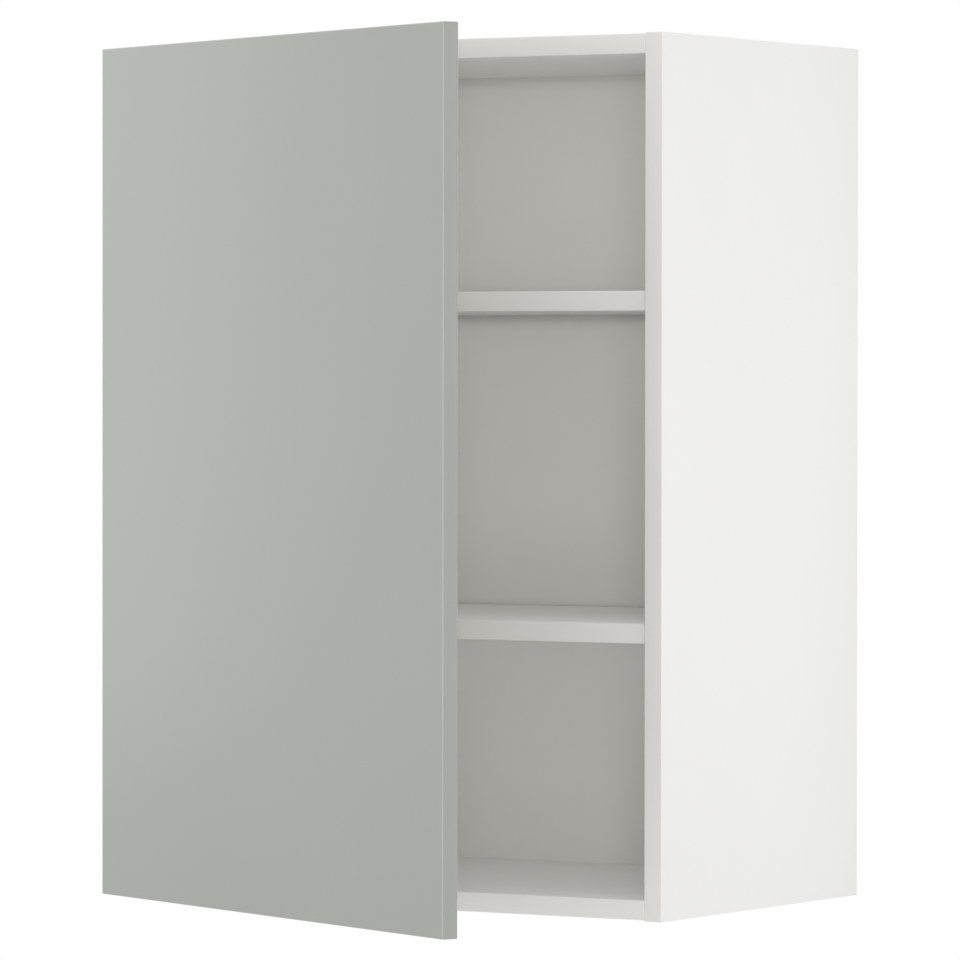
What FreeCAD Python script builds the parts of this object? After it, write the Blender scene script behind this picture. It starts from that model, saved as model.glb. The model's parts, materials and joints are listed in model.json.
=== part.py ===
import FreeCAD, Part
import math
import os

# A kitchen wall cabinet with two loose shelves and one door on two concealed hinges, in millimetres.
# X runs to the right as seen from the front, Y towards the wall and Z up. The origin lies on the
# wall plane, at mid width, on the underside of the bottom panel. The door stands part open.

# Carcass
cabinet_width = 600.0
cabinet_depth = 370.0
cabinet_height = 800.0
panel_thickness = 18.0
side_lip = 1.0              # the sides run this far past the bottom and top panels
band_thickness = 1.0        # edging glued on every front edge
band_edge_radius = 0.6

# Back
back_thickness = 3.0
back_inset = 4.5            # from the wall to the rear face of the back
groove_depth = 8.0
groove_clearance = 0.2

# Shelves and the rows of holes that carry them
shelf_thickness = 18.0
shelf_side_gap = 1.0
shelf_back_gap = 2.0
shelf_front_inset = 5.0
row_first_height = 145.5
row_pitch = 100.0
row_holes = 6
lower_shelf_row = 1
upper_shelf_row = 4
row_front_setback = 37.0
row_rear_setback = 60.0
row_hole_diameter = 5.0
row_hole_depth = 11.0
pin_fit = 0.05              # gap round a pin, dowel or screw in its hole
pin_peg_length = 9.0
pin_seat_length = 8.0
pin_seat_width = 8.0
pin_seat_above = 3.5
pin_seat_below = 4.0

# Cam fittings and dowels that join the panels
cam_setback = 60.0
cam_from_end = 24.0
cam_diameter = 15.0
cam_height = 12.0
cam_pocket_depth = 13.5
cam_channel_width = 8.0
cam_slot_length = 8.0
cam_slot_width = 1.6
cam_slot_depth = 1.5
bolt_diameter = 5.0
bolt_thread_length = 11.0
bolt_head_diameter = 7.0
bolt_head_length = 3.0
bolt_passage_diameter = 8.0
dowel_from_cam = 32.0
dowel_diameter = 8.0
dowel_in_side = 11.0
dowel_in_panel = 20.0
dowel_end_space = 1.0
cover_diameter = 17.0
cover_thickness = 0.9
cover_plug_depth = 0.7

# Hanging brackets in the upper rear corners
bracket_thickness = 2.5
bracket_width = 48.0
bracket_reach = 55.0
bracket_height = 55.0
bracket_below_top = 5.0
slot_length = 16.0
slot_width = 9.0
slot_from_side = 28.0
bracket_screw_diameter = 4.0
bracket_screw_length = 14.0
bracket_screw_head_diameter = 8.0
bracket_screw_head_height = 2.4
bracket_screw_setback = 25.0
bracket_screw_spacing = 18.0
bracket_screw_rise = 27.0
notch_margin = 4.0          # space left round the bracket in the corner of the back
cap_margin = 4.0            # how far the cap laps over that space
cap_wall = 1.5
cap_depth = 56.0

# Door
door_thickness = 16.0
door_edge_gap = 1.5         # door edge to the outside of the carcass, all round
door_gap = 2.5              # closed door to the front of the carcass
door_edge_radius = 1.2
open_angle = 25.5
bumper_diameter = 8.0
bumper_thickness = 1.8
bumper_from_end = 30.0

# Hinge linkage with the door closed: distances along the door from its hinge edge, and out through
# its thickness from its back face. Each link turns by its ratio of the door's angle.
hinge_from_end = 100.0
arm_outer_pivot = (39.95, -2.77)
arm_inner_pivot = (28.48, -10.87)
cup_outer_pivot = (14.15, 2.99)
cup_inner_pivot = (10.01, 2.75)
outer_link_elbow = (22.4, 3.4)
inner_link_elbow = (18.63, 5.84)
outer_link_ratio = -0.299
inner_link_ratio = -0.349
outer_eye_offset = (-0.18, -0.87)
outer_eye_play = 1.0        # room round the arm pin in the outer link's open eye
link_half_width = 1.8
hinge_pin_diameter = 2.0
hinge_pin_fit = 0.05
hinge_pin_head_diameter = 3.6
hinge_pin_head_height = 0.6
eye_wall = 1.1

# Hinge stack across its height, from the middle outwards
inner_link_thickness = 5.0
layer_gap = 0.2
outer_link_thickness = 1.3
arm_wall = 1.3
trough_gap = 1.0

# Hinge cup, arm and mounting plate
cup_diameter = 35.0
cup_depth = 11.5
cup_from_edge = 22.5
cup_fit = 0.05
cup_wall = 0.6
cup_bore_space = 0.3
cup_rim = 1.3
cup_mouth_relief = 1.6      # how far the flange is cut back past the trough at the hinge edge
cup_flange_thickness = 1.2
cup_ear_width = 16.0
cup_ear_length = 62.0
cup_ear_offset = 6.0
cup_ear_radius = 4.0
cup_pin_hold = 3.0
cup_screw_spacing = 48.0
cup_screw_diameter = 3.5
cup_screw_length = 12.0
cup_screw_head_diameter = 7.0
cup_screw_head_height = 1.8
arm_eye_radius = 2.4
arm_web_gap = 0.4
arm_behind_plate = 19.0
arm_lower_gap = 2.0
plate_setback = 37.0
plate_base_thickness = 2.0
plate_base_length = 34.0
plate_base_width = 16.0
plate_wing_width = 16.0
plate_wing_height = 46.0
plate_block_front = 13.0
plate_block_rear = 17.0
plate_block_gap = 0.3
plate_screw_spacing = 32.0
plate_screw_length = 12.0
plate_screw_head_diameter = 9.0
plate_screw_head_height = 2.0
arm_screw_diameter = 4.0
arm_screw_length = 8.0
arm_screw_head_diameter = 6.5
arm_screw_head_height = 1.8
arm_screw_front = 6.0
arm_screw_rear = 10.0
spring_thickness = 0.6
spring_width = 6.0
spring_length = 9.0
spring_below_web = 0.5

# Places that follow from the sizes
half_width = cabinet_width / 2
inner_half = half_width - panel_thickness
front = -cabinet_depth
panel_front = front + band_thickness
side_bottom = -side_lip
side_top = side_bottom + cabinet_height
deck_top = side_top - side_lip
floor_face = panel_thickness
ceiling_face = deck_top - panel_thickness
back_rear = -back_inset
back_front = back_rear - back_thickness
groove_front = back_front - groove_clearance
bottom_mid = panel_thickness / 2
top_mid = deck_top - panel_thickness / 2
row_depths = (front + row_front_setback, -row_rear_setback)
row_heights = [row_first_height + i * row_pitch for i in range(row_holes)]
cam_depths = (front + cam_setback, -cam_setback)
dowel_depths = (cam_depths[0] + dowel_from_cam, cam_depths[1] - dowel_from_cam)
bracket_top = ceiling_face - bracket_below_top
bracket_bottom = bracket_top - bracket_height
bracket_screw_depths = (-bracket_screw_setback, -bracket_screw_setback - bracket_screw_spacing)
bracket_screw_height = bracket_bottom + bracket_screw_rise
notch_bottom = bracket_bottom - notch_margin
door_left = -half_width + door_edge_gap
door_right = half_width - door_edge_gap
door_bottom = side_bottom + door_edge_gap
door_top = side_top - door_edge_gap
door_back = front - door_gap
door_front = door_back - door_thickness
hinge_heights = {"lower": side_bottom + hinge_from_end, "upper": side_top - hinge_from_end}
pin_radius = hinge_pin_diameter / 2
pin_hole_radius = pin_radius + hinge_pin_fit
inner_layer = inner_link_thickness / 2
outer_layer = inner_layer + layer_gap
outer_layer_end = outer_layer + outer_link_thickness
arm_layer = outer_layer_end + layer_gap
arm_layer_end = arm_layer + arm_wall
trough_half = arm_layer_end + trough_gap
open_eye_radius = pin_radius + outer_eye_play
open_eye_centre = (arm_outer_pivot[0] + outer_eye_offset[0], arm_outer_pivot[1] + outer_eye_offset[1])
panel_face = -inner_half - door_left
web_face = arm_outer_pivot[0] + outer_eye_play + open_eye_radius + eye_wall + arm_web_gap
web_top = web_face + arm_wall
plate_out = door_back - (front + plate_setback)
base_face = panel_face + plate_base_thickness
arm_rear = plate_out - arm_behind_plate
block_front = plate_out + plate_block_front
X = FreeCAD.Vector(1, 0, 0)
Y = FreeCAD.Vector(0, 1, 0)
Z = FreeCAD.Vector(0, 0, 1)


def box(x0, x1, y0, y1, z0, z1):
    """Block between two corners, given in either order."""
    corner = FreeCAD.Vector(min(x0, x1), min(y0, y1), min(z0, z1))
    return Part.makeBox(abs(x1 - x0), abs(y1 - y0), abs(z1 - z0), corner)


def rod(x, y, z, direction, length, diameter):
    """Round bar that starts at a point and runs along a direction."""
    return Part.makeCylinder(diameter / 2, length, FreeCAD.Vector(x, y, z), direction)


def joined(shapes):
    """One solid made of touching shapes."""
    return shapes[0].multiFuse(shapes[1:]).removeSplitter()


def save(name, shape):
    """Write one piece, or one group of like pieces."""
    solids = shape.Solids
    whole = solids[0] if len(solids) == 1 else Part.makeCompound(solids)
    whole.exportStep(f"parts/{name}.step")


def rounded_front(shape, radius):
    """Ease the edges of a band's front face."""
    front_face = min(shape.Faces, key=lambda face: face.CenterOfMass.y)
    return shape.makeFillet(radius, front_face.Edges)


# Side panels, drilled alike so that the door can hang on either side
def side_panel(side):
    inner = side * inner_half
    panel = box(inner, side * half_width, panel_front, 0, side_bottom, side_top)
    groove_low = floor_face - groove_depth
    groove_high = ceiling_face + groove_depth
    cuts = [box(inner, inner + side * groove_depth, groove_front, back_rear, groove_low, groove_high)]
    inward = X * side
    hole = row_hole_diameter
    for y in row_depths:
        for z in row_heights:
            cuts.append(rod(inner, y, z, inward, row_hole_depth, hole))
    for height in hinge_heights.values():
        for z in (height - plate_screw_spacing / 2, height + plate_screw_spacing / 2):
            depth = plate_screw_length + dowel_end_space
            cuts.append(rod(inner, front + plate_setback, z, inward, depth, hole))
    for z in (bottom_mid, top_mid):
        for y in cam_depths:
            depth = bolt_thread_length + dowel_end_space
            cuts.append(rod(inner, y, z, inward, depth, bolt_diameter + 2 * pin_fit))
        for y in dowel_depths:
            depth = dowel_in_side + dowel_end_space
            cuts.append(rod(inner, y, z, inward, depth, dowel_diameter + 2 * pin_fit))
    for y in bracket_screw_depths:
        depth = bracket_screw_length - bracket_thickness + dowel_end_space
        cuts.append(rod(inner, y, bracket_screw_height, inward, depth, bracket_screw_diameter + 2 * pin_fit))
    return panel.cut(cuts)


# Bottom and top panels between the sides, with the cam pockets on their outer faces
def deck_panel(low, outward):
    high = low + panel_thickness
    middle = (low + high) / 2
    outer = high if outward > 0 else low
    inner = low if outward > 0 else high
    panel = box(-inner_half, inner_half, panel_front, 0, low, high)
    cuts = [box(-inner_half, inner_half, groove_front, back_rear, inner, inner + outward * groove_depth)]
    for side in (-1, 1):
        end = side * inner_half
        for y in cam_depths:
            cuts.append(rod(end, y, middle, X * -side, cam_from_end, bolt_passage_diameter))
            pocket = cam_diameter + 2 * pin_fit
            cuts.append(rod(end - side * cam_from_end, y, outer, Z * -outward, cam_pocket_depth, pocket))
        for y in dowel_depths:
            depth = dowel_in_panel + dowel_end_space
            cuts.append(rod(end, y, middle, X * -side, depth, dowel_diameter + 2 * pin_fit))
    return panel.cut(cuts)


# Cam bolts in the sides, cam locks in the decks, their covers and the dowels
def panel_fittings():
    bolts = []
    locks = []
    covers = []
    dowels = []
    for middle, outer, outward in ((bottom_mid, 0, -1), (top_mid, deck_top, 1)):
        for side in (-1, 1):
            end = side * inner_half
            centre = end - side * cam_from_end
            inward = X * -side
            for y in cam_depths:
                length = bolt_thread_length + cam_from_end
                shank = rod(end + side * bolt_thread_length, y, middle, inward, length, bolt_diameter)
                half_head = side * bolt_head_length / 2
                head = rod(centre + half_head, y, middle, inward, bolt_head_length, bolt_head_diameter)
                bolts.append(joined([shank, head]))
                floor = outer - outward * cam_pocket_depth
                lock = rod(centre, y, floor, Z * outward, cam_height, cam_diameter)
                half_channel = cam_channel_width / 2
                past = end
                before = centre - side * half_channel
                low = middle - half_channel
                channel = box(before, past, y - half_channel, y + half_channel, low, low + cam_channel_width)
                face = floor + outward * cam_height
                below = face - outward * cam_slot_depth
                half_slot = cam_slot_length / 2
                half_blade = cam_slot_width / 2
                slot = box(centre - half_slot, centre + half_slot, y - half_blade, y + half_blade, below, face)
                locks.append(lock.cut([channel, slot]))
                disc = rod(centre, y, outer, Z * outward, cover_thickness, cover_diameter)
                plug = rod(centre, y, outer, Z * -outward, cover_plug_depth, cam_diameter - 2 * pin_fit)
                covers.append(joined([disc, plug]))
            for y in dowel_depths:
                length = dowel_in_side + dowel_in_panel
                dowels.append(rod(end + side * dowel_in_side, y, middle, inward, length, dowel_diameter))
    save("cam_bolts", Part.makeCompound(bolts))
    save("cam_locks", Part.makeCompound(locks))
    save("cam_covers", Part.makeCompound(covers))
    save("wood_dowels", Part.makeCompound(dowels))


# Edging strips on the front edges of the carcass
def edge_bands():
    strips = {
        "left_edge_band": (-half_width, -inner_half, side_bottom, side_top),
        "right_edge_band": (inner_half, half_width, side_bottom, side_top),
        "bottom_edge_band": (-inner_half, inner_half, 0, floor_face),
        "top_edge_band": (-inner_half, inner_half, ceiling_face, deck_top),
    }
    for name, (x0, x1, z0, z1) in strips.items():
        save(name, rounded_front(box(x0, x1, front, panel_front, z0, z1), band_edge_radius))


# Thin back in its grooves, with the upper corners cut away round the hanging brackets
def back_panel():
    reach = inner_half + groove_depth - groove_clearance
    low = floor_face - groove_depth + groove_clearance
    high = ceiling_face + groove_depth - groove_clearance
    panel = box(-reach, reach, back_front, back_rear, low, high)
    cuts = []
    for side in (-1, 1):
        inner = side * (inner_half - bracket_width - notch_margin)
        cuts.append(box(inner, side * half_width, back_front, back_rear, notch_bottom, side_top))
    return panel.cut(cuts)


# Each loose shelf lies on four pins pushed into the rows of holes
def shelf(name, row):
    peg_height = row_heights[row]
    low = peg_height + pin_seat_above
    high = low + shelf_thickness
    half = inner_half - shelf_side_gap
    edge = front + shelf_front_inset
    save(name, box(-half, half, edge + band_thickness, back_front - shelf_back_gap, low, high))
    strip = box(-half, half, edge, edge + band_thickness, low, high)
    save(f"{name}_band", rounded_front(strip, band_edge_radius))
    pins = []
    for side in (-1, 1):
        for y in row_depths:
            face = side * inner_half
            peg = rod(face, y, peg_height, X * side, pin_peg_length, row_hole_diameter - 2 * pin_fit)
            half_seat = pin_seat_width / 2
            inner = face - side * pin_seat_length
            seat = box(face, inner, y - half_seat, y + half_seat, peg_height - pin_seat_below, low)
            pins.append(joined([peg, seat]))
    save(f"{name}_pins", Part.makeCompound(pins))


# Steel angle in an upper rear corner, with the slot for the wall screw, and the cap over it
def hanging_bracket(side):
    face = side * inner_half
    inner = face - side * bracket_width
    rear_leg = box(face, inner, -bracket_thickness, 0, bracket_bottom, bracket_top)
    leg_face = face - side * bracket_thickness
    side_leg = box(face, leg_face, -bracket_reach, 0, bracket_bottom, bracket_top)
    slot_centre = face - side * slot_from_side
    slot_height = (bracket_bottom + bracket_top) / 2
    half_run = (slot_length - slot_width) / 2
    half_slot = slot_width / 2
    cuts = [box(slot_centre - half_run, slot_centre + half_run, -bracket_thickness, 0,
                slot_height - half_slot, slot_height + half_slot)]
    for x in (slot_centre - half_run, slot_centre + half_run):
        cuts.append(rod(x, -bracket_thickness, slot_height, Y, bracket_thickness, slot_width))
    for y in bracket_screw_depths:
        hole = bracket_screw_diameter + 2 * pin_fit
        cuts.append(rod(face, y, bracket_screw_height, X * -side, bracket_thickness, hole))
    return joined([rear_leg, side_leg]).cut(cuts)


def bracket_screws():
    screws = []
    for side in (-1, 1):
        seat = side * (inner_half - bracket_thickness)
        for y in bracket_screw_depths:
            shank = rod(seat, y, bracket_screw_height, X * side, bracket_screw_length, bracket_screw_diameter)
            head = rod(seat, y, bracket_screw_height, X * -side, bracket_screw_head_height,
                       bracket_screw_head_diameter)
            screws.append(joined([shank, head]))
    return Part.makeCompound(screws)


def bracket_cap(side):
    face = side * inner_half
    inner = face - side * (bracket_width + notch_margin + cap_margin)
    low = notch_bottom - cap_margin
    nose = back_front - cap_depth
    shell = box(face, inner, nose, back_front, low, bracket_top)
    hollow = box(face, inner + side * cap_wall, nose + cap_wall, back_front, low + cap_wall, bracket_top)
    return shell.cut(hollow)


# Hinge plane: points along and out from the closed door's hinge edge
def at_hinge(point, height):
    return FreeCAD.Vector(door_left + point[0], door_back - point[1], height)


def turned(point, centre, degrees):
    """Point of the hinge plane after a turn about a centre, with opening turns positive."""
    angle = math.radians(degrees)
    along = point[0] - centre[0]
    out = point[1] - centre[1]
    turned_along = math.cos(angle) * along - math.sin(angle) * out
    turned_out = math.sin(angle) * along + math.cos(angle) * out
    return (centre[0] + turned_along, centre[1] + turned_out)


def swung(shape, pivot, degrees, place):
    """Shape turned about its pivot, with that pivot carried to its place."""
    moved = shape.copy()
    moved.rotate(at_hinge(pivot, 0), Z, -degrees)
    moved.translate(at_hinge(place, 0) - at_hinge(pivot, 0))
    return moved


inner_turn = inner_link_ratio * open_angle
outer_turn = outer_link_ratio * open_angle
cup_inner_place = turned(cup_inner_pivot, arm_inner_pivot, inner_turn)
cup_outer_turned = turned(cup_outer_pivot, cup_inner_pivot, open_angle)
cup_outer_place = (cup_outer_turned[0] + cup_inner_place[0] - cup_inner_pivot[0],
                   cup_outer_turned[1] + cup_inner_place[1] - cup_inner_pivot[1])


def with_door(shape):
    return swung(shape, cup_inner_pivot, open_angle, cup_inner_place)


def hinge_box(along, out, height, half_height):
    """Block in the hinge plane, centred on a height."""
    low = at_hinge((along[0], out[0]), height - half_height)
    high = at_hinge((along[1], out[1]), height + half_height)
    return box(low.x, high.x, low.y, high.y, low.z, high.z)


def hinge_pin(point, low, high, radius):
    return Part.makeCylinder(radius, high - low, at_hinge(point, low))


def bent_bar(points, low, high):
    """Flat bar with round ends along a bent line."""
    outline = Part.makePolygon([at_hinge(point, low) for point in points]).makeOffset2D(link_half_width)
    return Part.Face(outline).extrude(Z * (high - low))


def rounded_plate(points, radius, low, high):
    """Flat plate round the given corner centres."""
    corners = [at_hinge(point, low) for point in points]
    outline = Part.Face(Part.makePolygon(corners + corners[:1])).makeOffset2D(radius)
    return outline.extrude(Z * (high - low))


def layer_pairs(height, start, end):
    """The two like layers of a hinge, below and above its middle."""
    return ((height - end, height - start), (height + start, height + end))


# Mounting plate on the side panel, with its screws, the arm, its screws and its spring
def hinge_mount(name, height):
    middle = (plate_out + plate_block_front, plate_out - plate_block_rear)
    wing = (plate_out - plate_wing_width / 2, plate_out + plate_wing_width / 2)
    centre = (middle[0] + middle[1]) / 2
    base = (centre - plate_base_length / 2, centre + plate_base_length / 2)
    plate = joined([
        hinge_box((panel_face, base_face), base, height, plate_base_width / 2),
        hinge_box((panel_face, base_face), wing, height, plate_wing_height / 2),
        hinge_box((base_face, web_face), middle, height, arm_layer - plate_block_gap),
    ])
    plate_cuts = []
    plate_screws = []
    for z in (height - plate_screw_spacing / 2, height + plate_screw_spacing / 2):
        seat = at_hinge((base_face, plate_out), z)
        thread = row_hole_diameter - 2 * pin_fit
        plate_cuts.append(rod(seat.x, seat.y, z, -X, plate_base_thickness, row_hole_diameter))
        shank = rod(seat.x, seat.y, z, -X, plate_base_thickness + plate_screw_length, thread)
        head = rod(seat.x, seat.y, z, X, plate_screw_head_height, plate_screw_head_diameter)
        plate_screws.append(joined([shank, head]))
    web_front = arm_outer_pivot[1] - arm_eye_radius
    edge = arm_eye_radius
    corners = [
        arm_inner_pivot,
        arm_outer_pivot,
        (web_top - edge, web_front - edge),
        (web_top - edge, arm_rear + edge),
        (base_face + arm_lower_gap + edge, arm_rear + edge),
        (base_face + arm_lower_gap + edge, block_front),
    ]
    flanges = [rounded_plate(corners, edge, *layer) for layer in layer_pairs(height, arm_layer, arm_layer_end)]
    web = hinge_box((web_face, web_top), (arm_rear + edge, web_front - edge), height, arm_layer_end)
    arm_cuts = []
    for pivot in (arm_inner_pivot, arm_outer_pivot):
        arm_cuts.append(hinge_pin(pivot, height - arm_layer_end, height + arm_layer_end, pin_hole_radius))
    arm_screws = []
    for out in (plate_out + arm_screw_front, plate_out - arm_screw_rear):
        seat = at_hinge((web_top, out), height)
        hole = arm_screw_diameter + 2 * pin_fit
        bore = rod(seat.x, seat.y, height, -X, arm_screw_length + dowel_end_space, hole)
        arm_cuts.append(bore)
        plate_cuts.append(bore)
        shank = rod(seat.x, seat.y, height, -X, arm_screw_length, arm_screw_diameter)
        head = rod(seat.x, seat.y, height, X, arm_screw_head_height, arm_screw_head_diameter)
        arm_screws.append(joined([shank, head]))
    leaf_top = web_face - spring_below_web
    leaf_run = (block_front, block_front + spring_length)
    leaf = hinge_box((leaf_top - spring_thickness, leaf_top), leaf_run, height, spring_width / 2)
    save(f"{name}_hinge_plate", plate.cut(plate_cuts))
    save(f"{name}_plate_screws", Part.makeCompound(plate_screws))
    save(f"{name}_hinge_arm", joined(flanges + [web]).cut(arm_cuts))
    save(f"{name}_arm_screws", Part.makeCompound(arm_screws))
    save(f"{name}_leaf_spring", leaf)


# Pins riveted in the arm: one right through it, and a stub on each side for the outer link
def arm_pins(height):
    head_end = arm_layer_end + hinge_pin_head_height
    head_radius = hinge_pin_head_diameter / 2
    through = hinge_pin(arm_inner_pivot, height - arm_layer_end, height + arm_layer_end, pin_radius)
    heads = [hinge_pin(arm_inner_pivot, *layer, head_radius)
             for layer in layer_pairs(height, arm_layer_end, head_end)]
    pins = [joined([through] + heads)]
    stub_layers = layer_pairs(height, outer_layer, arm_layer_end)
    head_layers = layer_pairs(height, arm_layer_end, head_end)
    for stub_layer, head_layer in zip(stub_layers, head_layers):
        stub = hinge_pin(arm_outer_pivot, *stub_layer, pin_radius)
        head = hinge_pin(arm_outer_pivot, *head_layer, head_radius)
        pins.append(joined([stub, head]))
    return Part.makeCompound(pins)


# Inner link, a cranked bar between its arm pin and its cup pin
def inner_link(height):
    low = height - inner_layer
    high = height + inner_layer
    bar = bent_bar([arm_inner_pivot, inner_link_elbow, cup_inner_pivot], low, high)
    holes = [hinge_pin(pivot, low, high, pin_hole_radius) for pivot in (arm_inner_pivot, cup_inner_pivot)]
    return swung(bar.cut(holes), arm_inner_pivot, inner_turn, arm_inner_pivot)


# Outer link, a pair of cranked plates; the open eye at the arm gives the linkage its room
def outer_link(height):
    plates = []
    for low, high in layer_pairs(height, outer_layer, outer_layer_end):
        bar = bent_bar([arm_outer_pivot, outer_link_elbow, cup_outer_pivot], low, high)
        eye = hinge_pin(open_eye_centre, low, high, open_eye_radius + eye_wall)
        holes = [
            hinge_pin(open_eye_centre, low, high, open_eye_radius),
            hinge_pin(cup_outer_pivot, low, high, pin_hole_radius),
        ]
        plates.append(joined([bar, eye]).cut(holes))
    return swung(Part.makeCompound(plates), cup_outer_pivot, outer_turn, cup_outer_place)


# Cup let into the door: a round body with a trough for the links and a screwed flange
def hinge_cup(height):
    centre = at_hinge((cup_from_edge, 0), height)
    body_radius = cup_diameter / 2 - cup_fit
    body = Part.makeCylinder(body_radius, cup_depth, centre, -Y)
    rim = Part.makeCylinder(cup_diameter / 2 + cup_rim, cup_flange_thickness, centre, Y)
    ear_centre = cup_from_edge + cup_ear_offset
    ear_along = (ear_centre - cup_ear_width / 2, ear_centre + cup_ear_width / 2)
    ear = hinge_box(ear_along, (-cup_flange_thickness, 0), height, cup_ear_length / 2)
    ear_corners = [edge for edge in ear.Edges if abs(edge.tangentAt(edge.FirstParameter).y) > 0.9]
    ear = ear.makeFillet(cup_ear_radius, ear_corners)
    half_trough = math.sqrt(body_radius ** 2 - trough_half ** 2) - cup_wall
    trough_start = cup_from_edge - half_trough
    trough_end = cup_from_edge + half_trough
    trough = hinge_box((trough_start, trough_end), (0, cup_depth - cup_wall), height, trough_half)
    past_rim = cup_from_edge + cup_diameter / 2 + cup_rim + cup_ear_offset
    mouth = hinge_box((trough_start - cup_mouth_relief, past_rim), (-cup_flange_thickness, 0), height, trough_half)
    cuts = [trough, mouth]
    for pivot in (cup_inner_pivot, cup_outer_pivot):
        reach = trough_half + cup_pin_hold
        cuts.append(hinge_pin(pivot, height - reach, height + reach, pin_hole_radius))
    for seat in cup_screw_seats(height):
        hole = cup_screw_diameter + 2 * pin_fit
        cuts.append(rod(seat.x, seat.y, seat.z, -Y, cup_flange_thickness, hole))
    return joined([body, rim, ear]).cut(cuts)


def cup_screw_seats(height):
    along = cup_from_edge + cup_ear_offset
    half = cup_screw_spacing / 2
    return [at_hinge((along, -cup_flange_thickness), z) for z in (height - half, height + half)]


# Pins held in the cheeks of the cup
def cup_pins(height):
    reach = trough_half + cup_pin_hold
    pins = [hinge_pin(cup_inner_pivot, height - reach, height + reach, pin_radius)]
    for low, high in layer_pairs(height, outer_layer, reach):
        pins.append(hinge_pin(cup_outer_pivot, low, high, pin_radius))
    return Part.makeCompound(pins)


def cup_screws(height):
    screws = []
    for seat in cup_screw_seats(height):
        length = cup_flange_thickness + cup_screw_length
        shank = rod(seat.x, seat.y, seat.z, -Y, length, cup_screw_diameter)
        head = rod(seat.x, seat.y, seat.z, Y, cup_screw_head_height, cup_screw_head_diameter)
        screws.append(joined([shank, head]))
    return Part.makeCompound(screws)


# Door leaf, bored for the cups and their screws
def door_panel():
    leaf = box(door_left, door_right, door_front, door_back, door_bottom, door_top)
    leaf = leaf.makeFillet(door_edge_radius, leaf.Edges)
    cuts = []
    for height in hinge_heights.values():
        centre = at_hinge((cup_from_edge, 0), height)
        bore_depth = cup_depth + cup_bore_space
        cuts.append(rod(centre.x, centre.y, height, -Y, bore_depth, cup_diameter))
        for seat in cup_screw_seats(height):
            depth = cup_screw_length + dowel_end_space
            hole = cup_screw_diameter + 2 * pin_fit
            cuts.append(rod(seat.x, door_back, seat.z, -Y, depth, hole))
    return leaf.cut(cuts)


# Soft stops near the door's free edge, facing the front of the right side
def door_bumpers():
    along = half_width - panel_thickness / 2
    stops = []
    for z in (door_bottom + bumper_from_end, door_top - bumper_from_end):
        stops.append(rod(along, door_back, z, Y, bumper_thickness, bumper_diameter))
    return Part.makeCompound(stops)


os.makedirs("parts", exist_ok=True)
save("left_side_panel", side_panel(-1))
save("right_side_panel", side_panel(1))
save("bottom_panel", deck_panel(0, -1))
save("top_panel", deck_panel(ceiling_face, 1))
save("back_panel", back_panel())
edge_bands()
panel_fittings()
shelf("lower_shelf", lower_shelf_row)
shelf("upper_shelf", upper_shelf_row)
save("left_hanging_bracket", hanging_bracket(-1))
save("right_hanging_bracket", hanging_bracket(1))
save("bracket_screws", bracket_screws())
save("left_bracket_cap", bracket_cap(-1))
save("right_bracket_cap", bracket_cap(1))
for hinge_name, hinge_height in hinge_heights.items():
    hinge_mount(hinge_name, hinge_height)
    save(f"{hinge_name}_arm_pins", arm_pins(hinge_height))
    save(f"{hinge_name}_inner_link", inner_link(hinge_height))
    save(f"{hinge_name}_outer_link", outer_link(hinge_height))
    save(f"{hinge_name}_hinge_cup", with_door(hinge_cup(hinge_height)))
    save(f"{hinge_name}_cup_pins", with_door(cup_pins(hinge_height)))
    save(f"{hinge_name}_cup_screws", with_door(cup_screws(hinge_height)))
save("door_panel", with_door(door_panel()))
save("door_bumpers", with_door(door_bumpers()))

for pivot_name, place in (("arm inner", arm_inner_pivot), ("cup inner", cup_inner_place),
                          ("cup outer", cup_outer_place)):
    pivot = at_hinge(place, 0)
    print(f"{pivot_name} pivot at X {pivot.x:.4f} Y {pivot.y:.4f}")
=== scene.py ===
import json
import math

import bmesh
import bpy
from mathutils import Matrix, Vector

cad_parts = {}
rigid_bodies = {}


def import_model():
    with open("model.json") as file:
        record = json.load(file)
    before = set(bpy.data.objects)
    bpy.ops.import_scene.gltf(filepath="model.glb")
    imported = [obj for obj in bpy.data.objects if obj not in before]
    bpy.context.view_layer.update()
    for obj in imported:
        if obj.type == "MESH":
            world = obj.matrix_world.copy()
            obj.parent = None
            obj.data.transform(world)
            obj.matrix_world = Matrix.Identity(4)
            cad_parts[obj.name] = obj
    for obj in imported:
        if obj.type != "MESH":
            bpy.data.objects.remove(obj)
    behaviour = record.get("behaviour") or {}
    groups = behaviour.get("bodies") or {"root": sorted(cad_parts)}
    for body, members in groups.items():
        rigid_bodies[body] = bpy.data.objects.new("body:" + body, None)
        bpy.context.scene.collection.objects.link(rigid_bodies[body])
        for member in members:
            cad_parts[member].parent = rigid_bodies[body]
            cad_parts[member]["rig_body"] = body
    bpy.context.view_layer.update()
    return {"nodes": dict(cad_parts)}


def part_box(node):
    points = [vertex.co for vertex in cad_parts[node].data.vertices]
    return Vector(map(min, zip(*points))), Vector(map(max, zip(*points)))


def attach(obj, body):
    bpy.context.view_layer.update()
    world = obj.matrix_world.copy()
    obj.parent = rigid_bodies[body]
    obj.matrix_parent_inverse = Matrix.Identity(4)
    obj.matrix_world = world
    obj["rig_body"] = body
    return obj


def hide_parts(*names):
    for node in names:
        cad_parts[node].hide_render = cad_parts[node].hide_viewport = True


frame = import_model()

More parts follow.
